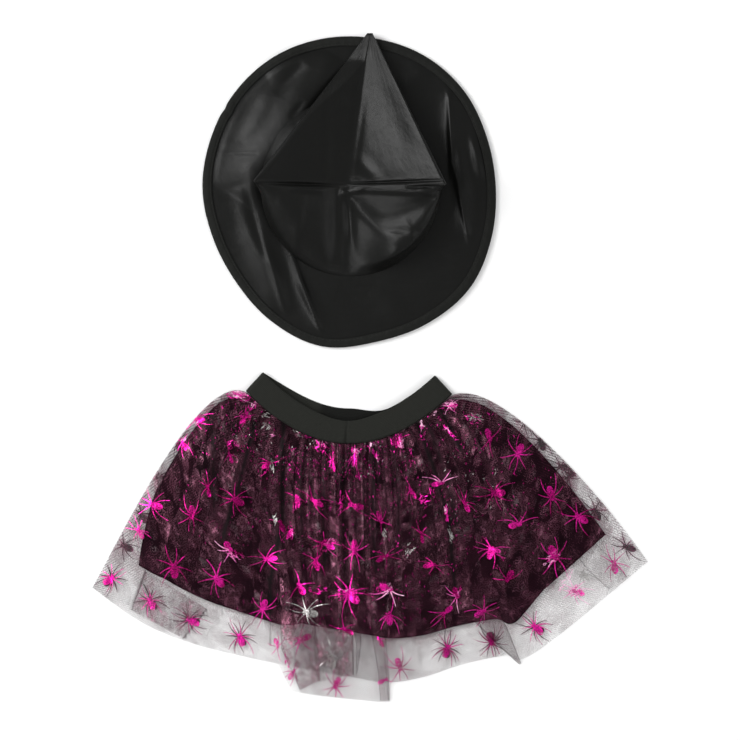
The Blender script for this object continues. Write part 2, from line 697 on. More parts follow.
def makeBinding():
    rows = [bindingSection(math.tau * k / binding["stations"]) for k in range(binding["stations"])]
    around = math.tau * 147.0 * layout["mm"] / binding["stations"]

    def uvAt(r, c):
        return (r * around, c * 0.0013)

    piece = gridPiece("hatBinding", rows, cloth["tape"], uvAt, True, True, closed=True)
    dress(piece, "binding", "hat_brim_binding")
    places = []
    for k in range(binding["stitchCount"]):
        angle = math.tau * (k + 0.5) / binding["stitchCount"]
        inner = bindingEdge(angle) - binding["width"] + 0.5 * math.sin(angle * 3.0 + 0.6)
        middle = hatPoint(angle, inner + binding["stitchInset"], binding["height"] - 0.02)
        places.append((middle, Vector((-math.sin(angle), math.cos(angle), 0.0))))
    stitches = stitchPiece("hatBindingStitches", places, binding["stitchThick"], binding["stitchLong"], cloth["thread"])
    dress(stitches, "binding")
    return piece, stitches


# crown: t runs along the fold from the left ear to the right one, share from the seam up to the fold,
# then from the fold back down to the tip

crown = {
    "earLeft": (-92.0, 3.5, 50.0),
    "earRight": (92.0, 0.5, 54.0),
    "foldMiddle": 31.0,
    "tip": (19.8, 153.2, 7.6),
    "tipShare": 0.975,
    "tipThick": 2.0,
    "flapThick": 4.2,
    "flapBelly": 2.6,
    "flapValley": 5.0,
    "flapPillow": 1.6,
    "lipLow": 4.0,
    "lipHigh": 17.0,
    "lipSlope": 0.56,
    "lowerBulge": 6.0,
    "lowerValley": 11.0,
    "backBelly": 1.5,
    "rollOut": 0.8,
    "rollHigh": 17.0,
    "rollWide": 0.13,
    "lift": 0.72,
    "backLift": 2.2,
    "halfSteps": 100,
    "lowerRings": (16, 36, 20),
    "flapRings": (20, 64),
    "foldZone": 0.08,
    "edgeSteps": 5,
    "folds": (
        {"x0": -98, "y0": 3.2, "x1": 0, "y1": 1.0, "wide": 1.8, "high": -3.2},
        {"x0": -8, "y0": 2.6, "x1": 96, "y1": 5.6, "wide": 1.4, "high": -2.8},
        {"x0": 54, "y0": -1.5, "x1": 96, "y1": 0.5, "wide": 2.0, "high": -2.6},
        {"x0": -10, "y0": -2, "x1": 96, "y1": -7, "wide": 5.0, "high": 2.4, "side": 1.0, "lean": 0.6},
        {"x0": -60, "y0": -2.5, "x1": -24, "y1": -4.0, "wide": 2.6, "high": 2.2},
        {"x0": -12, "y0": -8, "x1": 14, "y1": -3, "wide": 2.2, "high": 2.0},
        {"x0": -10, "y0": -2, "x1": 6, "y1": -16, "wide": 2.2, "high": 2.0},
        {"x0": -10, "y0": -4, "x1": 40, "y1": -52, "wide": 8.0, "high": 1.8, "lean": 0.5},
        {"x0": -8, "y0": -8, "x1": 2, "y1": -76, "wide": 6.0, "high": 2.0, "side": -1.0, "lean": 0.4},
        {"x0": -12, "y0": 4, "x1": -16, "y1": -84, "wide": 6.5, "high": -3.2},
        {"x0": 18, "y0": 160, "x1": -4, "y1": -10, "wide": 5.0, "high": -0.9},
        {"x0": -20, "y0": 96, "x1": -24, "y1": -4, "wide": 4.5, "high": -1.0},
        {"x0": 14, "y0": 88, "x1": 2, "y1": 4, "wide": 9.0, "high": 1.2, "side": -1.0, "lean": 0.4},
        {"x0": 4, "y0": 30, "x1": 30, "y1": 4, "wide": 6.0, "high": -1.2},
        {"x0": 30, "y0": -42, "x1": 78, "y1": -44, "wide": 2.2, "high": -0.9},
        {"x0": 52, "y0": -30, "x1": 66, "y1": -58, "wide": 3.0, "high": 0.9},
        {"x0": 66, "y0": -2, "x1": 92, "y1": -14, "wide": 3.0, "high": 1.2},
        {"x0": -74, "y0": -14, "x1": -44, "y1": -62, "wide": 12.0, "high": 0.9},
        {"x0": -86, "y0": 12, "x1": -50, "y1": 62, "wide": 8.0, "high": 0.8},
        {"x0": 60, "y0": 20, "x1": 34, "y1": 96, "wide": 10.0, "high": 0.8},
    ),
}


def foldPoint(t):
    side = 2.0 * t - 1.0
    left, right = crown["earLeft"], crown["earRight"]
    ear = left if side < 0.0 else right
    height = mix(crown["foldMiddle"], ear[2], abs(side) ** 1.3)
    return Vector((mix(left[0], right[0], t), mix(left[1], right[1], t), height))


def seamPoint(t, front):
    lowest = -math.pi / 2.0 if front else math.pi / 2.0
    sweep = math.radians(88.0) * (2.0 * t - 1.0)
    angle = lowest + (sweep if front else -sweep)
    x = brim["openingRadius"] * math.cos(angle)
    y = brim["openingRadius"] * math.sin(angle)
    return Vector((x, y, brim["underside"] + brim["cloth"] + 0.1 + brimCreases(x, y, brimRadius(angle))))


def pillow(t):
    return math.sin(math.pi * clamp01(t) * 2.0) ** 2


def valley(t, wide=0.5):
    return max(0.0, 1.0 - abs(t - 0.5) / wide)


def rollAt(t, front):
    # where the crown stands up steeply from its seam: at the lower right, and a little at the upper left
    if front:
        return smoothStep(0.52, 0.70, t) * (1.0 - smoothStep(0.96, 1.0, t))
    return 0.5 * bell(t - 0.38, 0.06)


def crownLower(t, share, front):
    start = seamPoint(t, front)
    end = foldPoint(t)
    if not front:
        end += Vector((0.0, 3.0, -crown["flapThick"]))
    point = start.lerp(end, share)
    belly = math.sin(math.pi * share) * (1.0 if front else crown["backBelly"] * (1.0 - share))
    outward = -1.0 if front else 1.0
    bulge = crown["lowerBulge"] * (0.45 + 0.55 * pillow(t)) * belly
    sunk = crown["lowerValley"] * (0.5 * bell(t - 0.49, 0.03) + 0.6 * valley(t, 0.35)) * belly
    point.z += 0.8 * bulge - (sunk if front else 0.0)
    point.y += 0.35 * outward * bulge
    lifted = share ** (crown["lift"] if front else crown["backLift"])
    point.z += (end.z - start.z) * (lifted - share)
    roll = rollAt(t, front)
    away = Vector((start.x, start.y, 0.0)).normalized()
    point += away * crown["rollOut"] * roll * (1.0 - smoothStep(crown["rollWide"], 0.5, share))
    point.z += crown["rollHigh"] * roll * smoothStep(0.0, crown["rollWide"], share) * (1.0 - smoothStep(0.12, 0.7, share))
    return point


def crownFlap(t, share, front):
    point = foldPoint(t).lerp(Vector(crown["tip"]), share)
    hump = math.sin(math.pi * min(share * 1.15, 1.0))
    point.z += hump * (crown["flapPillow"] * pillow(t) - crown["flapValley"] * valley(t))
    # the left edge rolls down, in a strip that widens towards the tip
    wide = (crown["earRight"][0] - crown["earLeft"][0]) * (1.0 - share)
    strip = min(mix(crown["lipLow"], crown["lipHigh"], smoothStep(0.4, 0.75, share)), 0.46 * wide)
    lip = max(0.0, strip - t * wide) * smoothStep(0.0, 0.2, share)
    point.z -= crown["lipSlope"] * lip
    if not front:
        full = crown["flapThick"] + crown["flapBelly"] * pillow(t) * math.sin(math.pi * share)
        point.y += 3.0 * (1.0 - share)
        point.z -= mix(full, crown["tipThick"], share ** 2)
    return point


def creaseTop(point, share, calm):
    # small hand-placed folds on the side that faces up
    fade = smoothStep(0.0, 0.12, calm)
    total = sum(foldHeight(point.x, point.y, fold) for fold in crown["folds"])
    total += 0.25 * waver(point.x, point.y, 13.0, 1.4) + 0.12 * waver(point.x, point.y, 5.5, 0.3)
    point.z += fade * total
    return point


def crownRing(surface, share, isFlap):
    steps = [k / crown["halfSteps"] for k in range(crown["halfSteps"] + 1)]
    calm = (1.0 - share) if isFlap else share
    front = []
    for t in steps:
        edge = min(t, 1.0 - t) * 12.0
        front.append(creaseTop(surface(t, share, True), share, min(calm, edge)))
    back = [surface(t, share, False) for t in reversed(steps)]
    ring = front
    for ends, way in (((front[-1], back[0]), 1.0), ((back[-1], front[0]), -1.0)):
        turn = []
        for n in range(1, crown["edgeSteps"]):
            s = n / crown["edgeSteps"]
            p = ends[0].lerp(ends[1], s)
            p.x += way * (0.9 * mix(1.0, 0.35, share) if isFlap else 0.9) * math.sin(math.pi * s)
            turn.append(p)
        ring = ring + turn + (back if way > 0 else [])
    return ring


def makeCrown():
    # rows are close together at the seam and at the fold
    zone = crown["foldZone"]
    atSeam, between, atFold = crown["lowerRings"]
    afterFold, toTip = crown["flapRings"]
    lowerShares = [zone * 1.5 * k / atSeam for k in range(atSeam)]
    lowerShares += [mix(zone * 1.5, 1.0 - zone, k / between) for k in range(between)]
    lowerShares += [mix(1.0 - zone, 1.0, k / atFold) for k in range(atFold + 1)]
    flapShares = [zone * 0.7 * k / afterFold for k in range(1, afterFold)]
    flapShares += [mix(zone * 0.7, crown["tipShare"], k / toTip) for k in range(toTip + 1)]
    rings = [crownRing(crownLower, share, False) for share in lowerShares]
    rings += [crownRing(crownFlap, share, True) for share in flapShares]
    offset = Vector((layout["hatX"], layout["hatY"], 0.0))
    rings = [[p + offset for p in ring] for ring in rings]
    count = len(rings[0])

    def uvAt(r, c):
        return (c / count * 0.543, r * 0.0022)

    faces, uvs = gridFaces(len(rings), count, uvAt, True, False)
    last = (len(rings) - 1) * count
    faces.append([last + c for c in range(count)])
    uvs.extend([(c / count * 0.543, 0.3) for c in range(count)])
    piece = makePiece("hatCrown", [p for ring in rings for p in ring], faces, cloth["satin"], uvs, closed=True)
    return dress(piece, "satin", "hat_crown")


# skirt map: u runs along the waist from left to right, v from the waist down to the hem

skirt = {
    "waistX": -20.4,
    "waistHalf": 98.0,
    "waistEndY": -22.3,
    "sagFront": 50.0,
    "sagBack": 41.0,
    "endDrop": 2.8,
    "endTilt": 1.6,
    "hem": (
        {"share": 0.00, "x": -269.7, "y": -212.4},
        {"share": 0.05, "x": -223.1, "y": -245.4},
        {"share": 0.10, "x": -174.6, "y": -265.8},
        {"share": 0.15, "x": -121.3, "y": -279.4},
        {"share": 0.20, "x": -75.7, "y": -289.0},
        {"share": 0.35, "x": -46.6, "y": -294.5},
        {"share": 0.50, "x": -17.5, "y": -299.5},
        {"share": 0.65, "x": 17.5, "y": -304.5},
        {"share": 0.75, "x": 53.4, "y": -298.8},
        {"share": 0.82, "x": 89.2, "y": -287.1},
        {"share": 0.88, "x": 131.0, "y": -278.4},
        {"share": 0.905, "x": 149.0, "y": -281.5},
        {"share": 0.94, "x": 189.2, "y": -254.1},
        {"share": 1.00, "x": 269.7, "y": -187.2},
    ),
    "waistFan": 120.0,
    "waistFanPower": 2.5,
    "hemFanPerMm": 0.117,
    "waistPull": (228.0, 155.0),
    "hemPull": (228.0, 194.0),
    "wall": 1.5,
    "liningWall": 1.0,
    "gap": 0.4,
}


def waistPoint(u, sag):
    # the back of the waist hangs less at the left, then cuts straight across to meet the front at the right
    side = 2.0 * u - 1.0
    drop = skirt["sagFront"] * (1.0 - side * side) + skirt["endDrop"] * side * side + skirt["endTilt"] * side ** 3
    lift = skirt["sagFront"] - sag
    drop -= lift * ((1.0 - side ** 4) if side < 0.0 else smoothStep(0.5, 0.0, side))
    return Vector((skirt["waistX"] + skirt["waistHalf"] * side, skirt["waistEndY"] - drop))


def hemPoint(u):
    rows = skirt["hem"]
    last = len(rows) - 1
    k = max(n for n, row in enumerate(rows[:-1]) if row["share"] <= u)
    share = (u - rows[k]["share"]) / (rows[k + 1]["share"] - rows[k]["share"])
    around = [rows[min(max(k + n, 0), last)] for n in (-1, 0, 1, 2)]
    return Vector([catmull(*[row[axis] for row in around], share) for axis in ("x", "y")])


def lay(u, v, sag):
    side = 2.0 * u - 1.0
    start = waistPoint(u, sag)
    end = hemPoint(u)
    fan = abs(side) ** skirt["waistFanPower"]
    startAngle = math.radians(270.0 + math.copysign(skirt["waistFan"] * fan, side))
    endAngle = math.radians(270.0 + skirt["hemFanPerMm"] * (end.x - skirt["waistX"]))
    pull = mix(*skirt["waistPull"], side * side)
    hold = mix(*skirt["hemPull"], side * side)
    leave = Vector((math.cos(startAngle), math.sin(startAngle))) * pull
    arrive = Vector((math.cos(endAngle), math.sin(endAngle))) * hold
    if v > 1.0:
        return end + arrive * (v - 1.0)
    return (
        start * (2.0 * v ** 3 - 3.0 * v ** 2 + 1.0)
        + leave * (v ** 3 - 2.0 * v ** 2 + v)
        + end * (3.0 * v ** 2 - 2.0 * v ** 3)
        + arrive * (v ** 3 - v ** 2)
    )


# net: two panels gathered on to the elastic

netFront = {
    "dropFrom": 0.187,
    "dropTo": 0.655,
    "dropSoft": 0.004,
    "dropLeft": 0.118,
    "dropRight": 0.082,
    "dropSlant": 10.0,
    "gathers": 28,
    "gatherHigh": 1.1,
    "gatherReach": 0.42,
    "puff": 5.0,
    "edge": 0.012,
    "puffEdge": 0.05,
    "overLiningUntil": 0.87,
    "landsFrom": 1.03,
    "landsAt": 1.09,
    "columns": 520,
    "rows": 130,
    "clothWide": 900.0,
    "clothLong": 0.300,
    "folds": (
        {"u": 0.065, "wide": 0.018, "high": 3.4, "start": 0.05, "end": 0.95},
        {"u": 0.128, "wide": 0.016, "high": 3.0, "start": 0.05, "end": 0.75},
        {"u": 0.205, "wide": 0.020, "high": 4.2, "start": 0.02, "end": 1.12},
        {"u": 0.285, "wide": 0.020, "high": 3.0, "start": 0.02, "end": 0.90},
        {"u": 0.360, "wide": 0.024, "high": 3.8, "start": 0.10, "end": 1.12},
        {"u": 0.450, "wide": 0.022, "high": 3.4, "start": 0.02, "end": 0.95},
        {"u": 0.535, "wide": 0.024, "high": 4.0, "start": 0.15, "end": 1.12},
        {"u": 0.625, "wide": 0.020, "high": 3.8, "start": 0.02, "end": 1.10},
        {"u": 0.715, "wide": 0.022, "high": 3.2, "start": 0.02, "end": 0.85},
        {"u": 0.790, "wide": 0.018, "high": 4.2, "start": 0.02, "end": 0.90},
        {"u": 0.850, "wide": 0.016, "high": 3.0, "start": 0.02, "end": 0.75},
        {"u": 0.905, "wide": 0.014, "high": 3.4, "start": 0.30, "end": 1.00},
        {"u": 0.950, "wide": 0.014, "high": 2.6, "start": 0.05, "end": 0.80},
    ),
    "pleats": 36,
    "pleatHigh": 1.3,
    "pleatJump": 23.0,
    "edgeCrowd": 0.9,
    "hemShine": 0.32,
    "creaseWide": 0.9,
    "pleatSeed": 11,
}

netBack = {"gathers": 16, "gatherHigh": 0.5, "gatherReach": 0.28, "columns": 330, "rows": 80}


def frontLength(u):
    soft = netFront["dropSoft"]
    left = smoothStep(netFront["dropFrom"] - soft, netFront["dropFrom"] + soft, u)
    right = 1.0 - smoothStep(netFront["dropTo"] - soft, netFront["dropTo"] + soft, u)
    share = (u - netFront["dropFrom"]) / (netFront["dropTo"] - netFront["dropFrom"])
    return 1.0 + mix(netFront["dropLeft"], netFront["dropRight"], share) * left * right


def seatLift(v):
    return 2.0 * netBack["gatherHigh"] * (1.0 - smoothStep(0.0, netBack["gatherReach"], v))


def netBackHeight(u, v):
    wave = 0.5 - 0.5 * math.cos(math.tau * netBack["gathers"] * u)
    return seatLift(v) * wave * smoothStep(0.0, 0.04, min(u, 1.0 - u))


def liningBackHeight(v):
    return skirt["wall"] + skirt["gap"] + seatLift(v)


lining = {
    "sides": (
        {"row": 0.00, "left": 0.0260, "right": 0.0260},
        {"row": 0.25, "left": 0.0160, "right": 0.0155},
        {"row": 0.45, "left": 0.0145, "right": 0.0145},
        {"row": 0.72, "left": 0.0145, "right": 0.0145},
        {"row": 1.00, "left": 0.0310, "right": 0.0145},
    ),
    "hem": (
        {"share": 0.00, "length": 0.812},
        {"share": 0.03, "length": 0.800},
        {"share": 0.07, "length": 0.810},
        {"share": 0.12, "length": 0.822},
        {"share": 0.16, "length": 0.834},
        {"share": 0.22, "length": 0.808},
        {"share": 0.42, "length": 0.806},
        {"share": 0.60, "length": 0.806},
        {"share": 0.79, "length": 0.832},
        {"share": 0.89, "length": 0.844},
        {"share": 0.92, "length": 0.850},
        {"share": 0.95, "length": 0.812},
        {"share": 1.00, "length": 0.808},
    ),
    "rise": 1.2,
    "riseLength": 0.83,
    "columns": 220,
    "rows": 90,
    "creases": 14,
    "thick": 0.5,
}


def liningFrontHeight(u, v):
    sides = smoothStep(0.0, 0.12, min(u, 1.0 - u))
    rise = lining["rise"] * math.sin(math.pi * clamp01(v / lining["riseLength"])) * sides
    return liningBackHeight(v) + skirt["liningWall"] + skirt["gap"] + rise


def makePleats():
    # the uneven pleats between the large folds: cloth steps up at each one and sinks again beyond it
    rng = random.Random(netFront["pleatSeed"])
    pleats = []
    for k in range(netFront["pleats"]):
        pleats.append({
            "u": (k + 0.5 + rng.uniform(-0.36, 0.36)) / netFront["pleats"],
            "wide": rng.uniform(0.006, 0.014),
            "side": rng.choice((1.0, 1.0, -1.0)),
            "high": netFront["pleatHigh"] * rng.uniform(0.5, 1.5),
            "end": rng.choice((0.22, 0.35, 0.5, 0.7, 0.95)) + rng.uniform(-0.05, 0.1),
            "drift": rng.uniform(-0.010, 0.010),
            "dark": rng.uniform(0.45, 0.9),
        })
    return pleats


smallPleats = makePleats()


def netWaves(u, v):
    near = max(v, 0.0)
    gathers = netFront["gatherHigh"] * (1.0 + math.cos(math.tau * netFront["gathers"] * u + 0.9 * math.sin(19.0 * u)))
    total = gathers * math.exp(-(near / netFront["gatherReach"]) ** 2)
    for fold in netFront["folds"]:
        across = u - fold["u"]
        if abs(across) < 3.0 * fold["wide"]:
            along = clamp01((v - fold["start"]) / (fold["end"] - fold["start"]))
            total += fold["high"] * math.sin(math.pi * along ** 0.8) * bell(across, fold["wide"])
    for pleat in smallPleats:
        across = (u - pleat["u"] - pleat["drift"] * v) * pleat["side"]
        if -0.006 < across < 4.0 * pleat["wide"]:
            fade = 1.0 - smoothStep(0.5 * pleat["end"], pleat["end"], v)
            slope = math.exp(-across / pleat["wide"]) if across > 0.0 else bell(across, 0.002)
            total += pleat["high"] * fade * slope
    return total


def pleatDark(u, v, perMm):
    # the crease line at the foot of each pleat, about a millimetre wide
    darkest = 0.0
    for pleat in smallPleats:
        across = u - pleat["u"] - pleat["drift"] * v
        if abs(across) < 0.012:
            fade = 1.0 - smoothStep(0.3 * pleat["end"], pleat["end"], v)
            darkest = max(darkest, pleat["dark"] * fade * bell(across, netFront["creaseWide"] * perMm))
    return darkest


def pleatNumber(u, v):
    return sum(1 for pleat in smallPleats if u > pleat["u"] + pleat["drift"] * v)


def netFrontHeight(u, v):
    base = skirt["wall"] + skirt["gap"]
    low = base * (1.0 - smoothStep(netFront["landsFrom"], netFront["landsAt"], v))
    over = liningFrontHeight(u, v) + skirt["liningWall"] + skirt["gap"]
    over = mix(over, low, smoothStep(netFront["overLiningUntil"], 1.0, v))
    fromEdge = min(u, 1.0 - u)
    puff = netFront["puff"] * math.sin(math.pi * clamp01(v / 0.95)) ** 0.8
    puff *= smoothStep(0.0, netFront["puffEdge"], fromEdge)
    edge = smoothStep(0.0, netFront["edge"], fromEdge)
    return low + (over - low + puff + max(netWaves(u, v), -0.6 * puff)) * edge


def crowding(u, v, sag):
    # how many times the cloth is gathered together at a place
    step = 0.004
    a = lay(max(u - step, 0.0), v, sag)
    b = lay(min(u + step, 1.0), v, sag)
    across = (b - a).length / (min(u + step, 1.0) - max(u - step, 0.0))
    return netFront["clothWide"] / max(across, 60.0)


# thin lines where the net is folded on itself and closes up: places, width and darkness
foldLines = (
    {"line": ((-112, -52), (-126, -108), (-143, -164)), "wide": 4.1, "dark": 0.97},
    {"line": ((-153, -46), (-152, -93), (-151, -140)), "wide": 3.8, "dark": 0.87},
    {"line": ((-84, -48), (-85, -146), (-97, -208), (-97, -236)), "wide": 4.9, "dark": 0.98},
    {"line": ((-60, -66), (-68, -110), (-66, -160)), "wide": 2.9, "dark": 0.82},
    {"line": ((-41, -74), (-46, -130), (-44, -190)), "wide": 3.3, "dark": 0.87},
    {"line": ((-25, -78), (-27, -130), (-24, -200)), "wide": 2.8, "dark": 0.82},
    {"line": ((5, -78), (2, -140), (6, -196)), "wide": 3.8, "dark": 0.92},
    {"line": ((22, -70), (28, -130), (26, -180)), "wide": 2.9, "dark": 0.82},
    {"line": ((43, -45), (62, -96), (76, -144), (83, -220)), "wide": 4.1, "dark": 0.97},
    {"line": ((54, -44), (72, -100), (84, -150)), "wide": 3.8, "dark": 0.82},
    {"line": ((68, -38), (88, -78)), "wide": 3.6, "dark": 0.97},
    {"line": ((100, -60), (122, -120), (126, -170)), "wide": 2.6, "dark": 0.5},
    {"line": ((-196, -60), (-206, -120), (-212, -170)), "wide": 1.6, "dark": 0.4},
    {"line": ((-97, -230), (-97, -268)), "wide": 0.7, "dark": 0.55},
    {"line": ((-218, -196), (-232, -234)), "wide": 0.8, "dark": 0.75},
    {"line": ((-158, -233), (-181, -262)), "wide": 0.9, "dark": 0.8},
    {"line": ((-218, -196), (-206, -204), (-158, -233)), "wide": 0.7, "dark": 0.4},
    {"line": ((12, -250), (18, -322)), "wide": 0.8, "dark": 0.35},
    {"line": ((-17, -257), (-16, -297)), "wide": 0.7, "dark": 0.5},
)


def toSegment(x, y, start, end):
    runX, runY = end[0] - start[0], end[1] - start[1]
    share = clamp01(((x - start[0]) * runX + (y - start[1]) * runY) / (runX * runX + runY * runY))
    return math.hypot(x - start[0] - runX * share, y - start[1] - runY * share)


def foldTone(x, y):
    # how dark the net is in a fold, and how much it catches the light on the cloth beside a wide one
    darkest, brightest = 0.0, 0.0
    for line in foldLines:
        for start, end in zip(line["line"], line["line"][1:]):
            reach = 3.0 * line["wide"] + 8.0
            if min(start[0], end[0]) - reach < x < max(start[0], end[0]) + reach:
                away = toSegment(x, y, start, end)
                darkest = max(darkest, line["dark"] * bell(away, line["wide"]))
                if line["wide"] > 2.2:
                    brightest = max(brightest, bell(away - 2.6 * line["wide"], 0.9 * line["wide"]))
    return darkest, brightest


def netPanel(name, settings, sag, length, heightAt, isFront=False):
    columns, rowCount = settings["columns"], settings["rows"]
    rows, bunch, fold, prints, shine = [], [], [], [], []
    for r in range(rowCount + 1):
        row, across = [], []
        for c in range(columns + 1):
            u = c / columns
            v = r / rowCount * length(u)
            place = lay(u, v, sag)
            if r == 0:
                place.y -= layout["seamGap"]
            if v > 1.0:
                inDrop = clamp01((u - netFront["dropFrom"]) / (netFront["dropTo"] - netFront["dropFrom"]))
                place.x += netFront["dropSlant"] * (1.0 - inDrop) * (v - 1.0) / netFront["dropLeft"]
            row.append(Vector((place.x, place.y, heightAt(u, v) + skirt["wall"] / 2.0)))
            crowd = crowding(u, v, sag)
            turned = 1.0 + netFront["edgeCrowd"] * bell(min(u, 1.0 - u), 0.06)
            bunch.append(min(crowd, 6.0) ** 0.8 * turned)
            dark, lit = foldTone(place.x, place.y) if isFront else (0.0, 0.0)
            fold.append(max(dark, pleatDark(u, v, crowd / netFront["clothWide"])) if isFront else 0.0)
            shine.append(mix(0.9 + 0.4 * lit, netFront["hemShine"], smoothStep(0.78, 0.90, v)))
            step = math.hypot(row[-1].x - row[-2].x, row[-1].y - row[-2].y) if c else 0.0
            across.append((across[-1] if c else 0.0) + step)
        # the print runs at its true size and jumps where a pleat hides some cloth
        half = across[-1] / 2.0
        jumps = [pleatNumber(c / columns, r / rowCount) if isFront else 0 for c in range(columns + 1)]
        prints.append([a - half + netFront["pleatJump"] * jump for a, jump in zip(across, jumps)])
        rows.append(row)

    def uvAt(r, c):
        return (prints[r][c] * layout["mm"], r / rowCount * netFront["clothLong"])

    marks = {"bunch": bunch, "fold": fold, "shine": shine}
    return gridPiece(name, rows, cloth["net"], uvAt, marks=marks)


def makeNets():
    front = netPanel("skirtNetFront", netFront, skirt["sagFront"], frontLength, netFrontHeight, True)
    back = netPanel("skirtNetBack", netBack, skirt["sagBack"], lambda u: 1.0, netBackHeight)
    dress(front, "net", "skirt_net_front")
    dress(back, "net", "skirt_net_back")
    return front, back


# places near the hem where the net is folded over itself, each one a strip between two edges
laps = (
    {"name": "Left", "left": ((-218, -196), (-232, -234)), "right": ((-158, -233), (-181, -262)), "crowd": 1.6, "shine": 1.2},
    {"name": "LongLeft", "left": ((-88, -232), (-86, -272), (-68, -312)), "right": ((-54, -244), (-50, -270), (-48, -302)), "crowd": 0.85, "shine": 1.6},
    {"name": "Middle", "left": ((-54, -246), (-54, -274), (-50, -304)), "right": ((-17, -257), (-16, -276), (-16, -297)), "crowd": 0.85, "shine": 1.6},
    {"name": "Narrow", "left": ((-16, -250), (-13, -270), (-14, -297)), "right": ((-8, -250), (-9, -268), (-12, -294)), "crowd": 1.0},
    {"name": "Strip", "left": ((2, -258), (8, -296), (10, -322)), "right": ((15, -254), (18, -290), (19, -322)), "crowd": 1.6},
    {"name": "Right", "left": ((98, -242), (126, -270), (145, -287)), "right": ((122, -230), (134, -253), (147, -286)), "crowd": 3.4},
    {"name": "FarRight", "left": ((196, -176), (212, -196), (232, -214)), "right": ((214, -164), (236, -186), (250, -202)), "crowd": 1.0},
)


def alongLine(line, share):
    place = share * (len(line) - 1)
    k = min(int(place), len(line) - 2)
    start, end = line[k], line[k + 1]
    return mix(start[0], end[0], place - k), mix(start[1], end[1], place - k)


def makeLaps(front):
    tree = topOf(front)
    made = []
    across, down = 26, 44
    for number, lap in enumerate(laps):
        rows, fold = [], []
        for r in range(down + 1):
            start = alongLine(lap["left"], r / down)
            end = alongLine(lap["right"], r / down)
            row = []
            for c in range(across + 1):
                s = c / across
                x, y = mix(start[0], end[0], s), mix(start[1], end[1], s)
                row.append(dropOn(tree, x, y, 0.45 + 0.25 * math.sin(math.pi * s), (x, y, 0.8)))
                fold.append(0.55 * bell(min(s, 1.0 - s) * abs(end[0] - start[0]), 0.8))
            rows.append(row)

        def uvAt(r, c):
            return ((rows[r][c][0] * 1.7 + 31.0 * number) * 0.001, (rows[r][c][1] + 17.0 * number) * 0.001)

        bunch = [lap["crowd"]] * (len(rows) * (across + 1))
        marks = {"bunch": bunch, "fold": fold, "shine": [lap.get("shine", 0.6)] * len(bunch)}
        piece = gridPiece("skirtNetLap" + lap["name"], rows, cloth["net"], uvAt, marks=marks)
        made.append(dress(piece, "net"))
    return made


# lining: two plain panels between the nets

def liningPanel(name, sag, heightAt, isFront):
    rows = []
    for r in range(lining["rows"] + 1):
        row = []
        down = r / lining["rows"]
        for c in range(lining["columns"] + 1):
            s = c / lining["columns"]
            left = readTable(lining["sides"], "row", "left", down)
            right = readTable(lining["sides"], "row", "right", down)
            u = mix(left, 1.0 - right, s)
            v = down * readTable(lining["hem"], "share", "length", s)
            place = lay(u, v, sag)
            if r == 0:
                place.y -= layout["seamGap"]
            z = heightAt(u, v) + skirt["liningWall"] / 2.0
            if isFront:
                wave = math.sin(math.tau * lining["creases"] * s + 2.2 * math.sin(5.0 * s + 3.0 * v))
                z += 0.45 * wave * math.sin(math.pi * clamp01(down)) * smoothStep(0.0, 0.1, min(s, 1.0 - s))
            row.append(Vector((place.x, place.y, z)))
        rows.append(row)

    def uvAt(r, c):
        return (c / lining["columns"] * 0.42, r / lining["rows"] * 0.235)

    piece = gridPiece(name, rows, cloth["lining"], uvAt)
    thick = piece.modifiers.new("thickness", "SOLIDIFY")
    thick.thickness = lining["thick"] * layout["mm"]
    thick.offset = 0.0
    return piece


def makeLinings():
    front = liningPanel("skirtLiningFront", skirt["sagFront"], liningFrontHeight, True)
    back = liningPanel("skirtLiningBack", skirt["sagBack"], lambda u, v: liningBackHeight(v), False)
    dress(front, "lining", "skirt_lining_front")
    dress(back, "lining", "skirt_lining_back")
    return front, back


# waistband: one loop of elastic, flat on itself, with a tight turn at each end

band = {
    "wide": 25.0,
    "cloth": 1.6,
    "frontHigh": 5.2,
    "frontLift": 0.3,
    "runSteps": 220,
    "turnSteps": 14,
    "acrossSteps": 22,
    "dentAt": 0.485,
    "dentWide": 0.007,
    "dentDeep": 1.8,
    "tilted": 0.12,
    "rippleHigh": 0.08,
    "stitchGaps": 1.7,
    "stitchInset": 2.6,
    "darkFrom": 0.30,
}


def bandRun(u, sag, height, upper):
    side = 2.0 * u - 1.0
    along = Vector((1.0, 2.0 * sag * side / skirt["waistHalf"])).normalized()
    across = Vector((-along.y, along.x, 0.0))
    place = waistPoint(u, sag)
    return Vector((place.x, place.y, height)), across, Vector((0.0, 0.0, 1.0 if upper else -1.0)), u, upper


def bandStations():
    low = band["cloth"] / 2.0
    high = band["frontHigh"] + low
    radius = (high - low) / 2.0
    count = band["runSteps"]
    stations = []
    for k in range(count + 1):
        u = k / count
        lift = band["frontLift"] * math.sin(math.pi * u)
        stations.append(bandRun(u, skirt["sagFront"], high + lift, True))
    for end, way in ((1.0, 1), (0.0, -1)):
        if end == 0.0:
            for k in range(count + 1):
                stations.append(bandRun(1.0 - k / count, skirt["sagBack"], low, False))
        front, across = bandRun(end, skirt["sagFront"], high, True)[:2]
        backAcross = bandRun(end, skirt["sagBack"], low, False)[1]
        for k in range(1, band["turnSteps"]):
            turn = math.pi * k / band["turnSteps"]
            if way < 0:
                turn = math.pi - turn
            aim = across.lerp(backAcross, turn / math.pi).normalized()
            outward = Vector((aim.y, -aim.x, 0.0)) * way
            thick = outward * math.sin(turn) + Vector((0.0, 0.0, math.cos(turn)))
            hub = Vector((front.x, front.y, (high + low) / 2.0))
            stations.append((hub + thick * radius, aim, thick, end, turn < math.pi / 2.0))
    return stations


